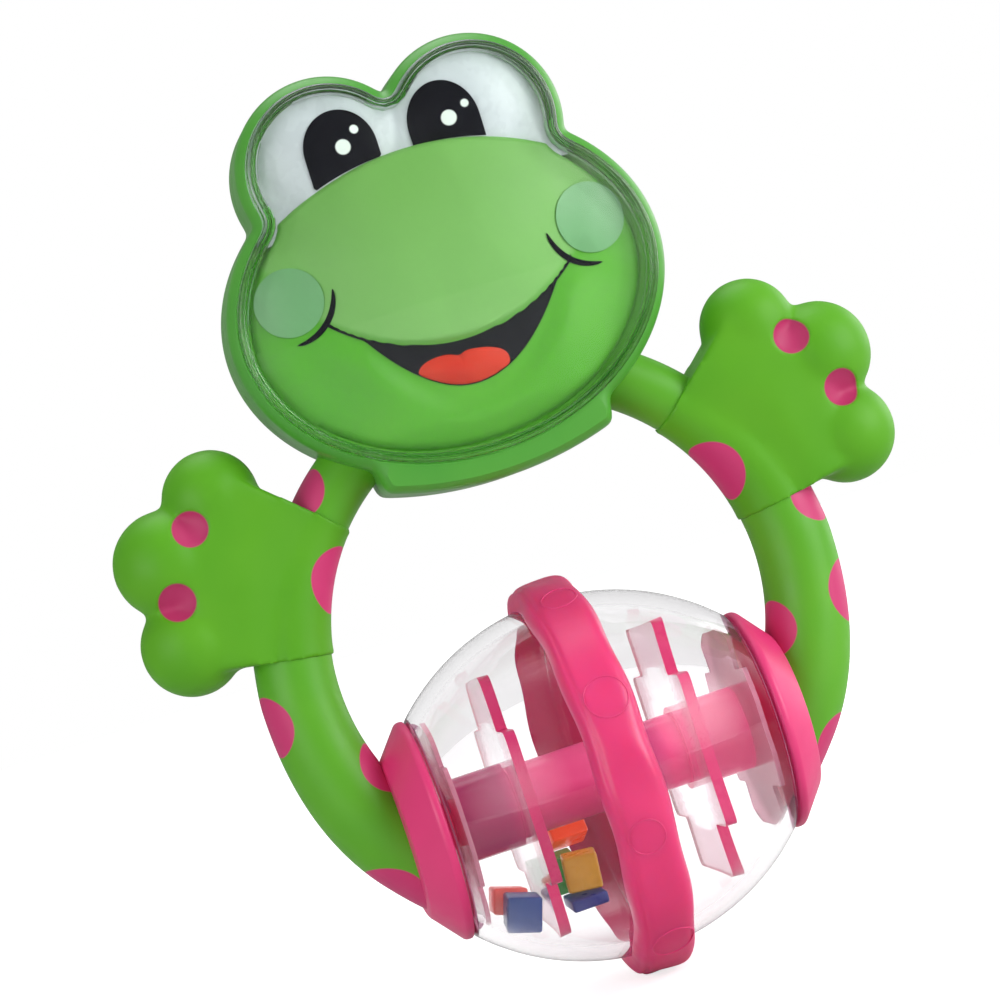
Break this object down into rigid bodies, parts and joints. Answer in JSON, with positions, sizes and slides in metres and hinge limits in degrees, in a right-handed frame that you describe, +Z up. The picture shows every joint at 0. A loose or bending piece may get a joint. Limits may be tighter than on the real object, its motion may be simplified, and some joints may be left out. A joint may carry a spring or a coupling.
{
  "type": "baby rattle",
  "caption": "Hand-held frog rattle: a ring of green arms with hands, a frog head with a clear window over a relief face, and a clear bead ball that spins between pink collars.",
  "frame": {"origin": "middle of the hand ring, where the fist that holds the rattle closes", "axes": "+Z up through the head, +X along the ball's axle to the frog's left hand as seen in front, +Y to the back, so that the face looks to -Y"},
  "size_m": [0.1326, 0.0674, 0.1571],
  "materials": {
    "head_green": "satin moulded green",
    "window_clear": "clear polished plastic",
    "face_green": "satin moulded green",
    "pearl_white": "pearly white",
    "black": "printed black",
    "tongue_red": "printed red",
    "cheek_pale": "pale translucent green",
    "arm_green": "satin lime green with painted pink spots",
    "hand_green": "soft lime green with painted pink dimples",
    "collar_pink": "satin hot pink",
    "ball_clear": "clear polished plastic",
    "band_pink": "soft hot pink",
    "spool_pink": "translucent pink",
    "bead_yellow": "glossy yellow",
    "bead_orange": "glossy orange red",
    "bead_green": "glossy green",
    "bead_navy": "glossy dark blue",
    "bead_red": "glossy coral red",
    "bead_blue": "glossy blue"
  },
  "bodies": {
    "frame": {"head_front": "head_green", "head_back": "head_green", "face_window": "window_clear", "face_plate": "face_green", "eye_panel": "pearl_white", "pupil_left": "black", "pupil_right": "black", "mouth": "black", "tongue": "tongue_red", "cheek_left": "cheek_pale", "cheek_right": "cheek_pale", "arm_left": "arm_green", "arm_right": "arm_green", "hand_left": "hand_green", "hand_right": "hand_green", "collar_left": "collar_pink", "collar_right": "collar_pink"},
    "ball": {"ball_half_left": "ball_clear", "ball_half_right": "ball_clear", "ball_band": "band_pink", "spool_left": "spool_pink", "spool_right": "spool_pink"},
    "block_yellow": {"bead_yellow": "bead_yellow"},
    "block_orange": {"bead_orange": "bead_orange"},
    "block_green": {"bead_green": "bead_green"},
    "block_navy": {"bead_navy": "bead_navy"},
    "block_red": {"bead_red": "bead_red"},
    "block_blue": {"bead_blue": "bead_blue"}
  },
  "joints": [
    {"name": "ball_spin", "type": "hinge", "parent": "frame", "child": "ball", "pos_m": [0, 0, -0.02688], "axis": [1, 0, 0], "continuous": true},
    {"name": "yellow_roll", "type": "hinge", "parent": "ball", "child": "block_yellow", "pos_m": [0, 0, -0.02688], "axis": [1, 0, 0], "continuous": true},
    {"name": "orange_roll", "type": "hinge", "parent": "ball", "child": "block_orange", "pos_m": [0, 0, -0.02688], "axis": [1, 0, 0], "continuous": true},
    {"name": "green_roll", "type": "hinge", "parent": "ball", "child": "block_green", "pos_m": [0, 0, -0.02688], "axis": [1, 0, 0], "continuous": true},
    {"name": "navy_roll", "type": "hinge", "parent": "ball", "child": "block_navy", "pos_m": [0, 0, -0.02688], "axis": [1, 0, 0], "continuous": true},
    {"name": "blue_roll", "type": "hinge", "parent": "ball", "child": "block_blue", "pos_m": [0, 0, -0.02688], "axis": [1, 0, 0], "continuous": true},
    {"name": "red_roll", "type": "hinge", "parent": "ball", "child": "block_red", "pos_m": [0, 0, -0.02688], "axis": [1, 0, 0], "continuous": true}
  ],
  "couplings": [
    {"joint": "orange_roll", "follows": "yellow_roll", "ratio": 1},
    {"joint": "green_roll", "follows": "yellow_roll", "ratio": 1},
    {"joint": "navy_roll", "follows": "yellow_roll", "ratio": 1},
    {"joint": "red_roll", "follows": "blue_roll", "ratio": 1}
  ]
}
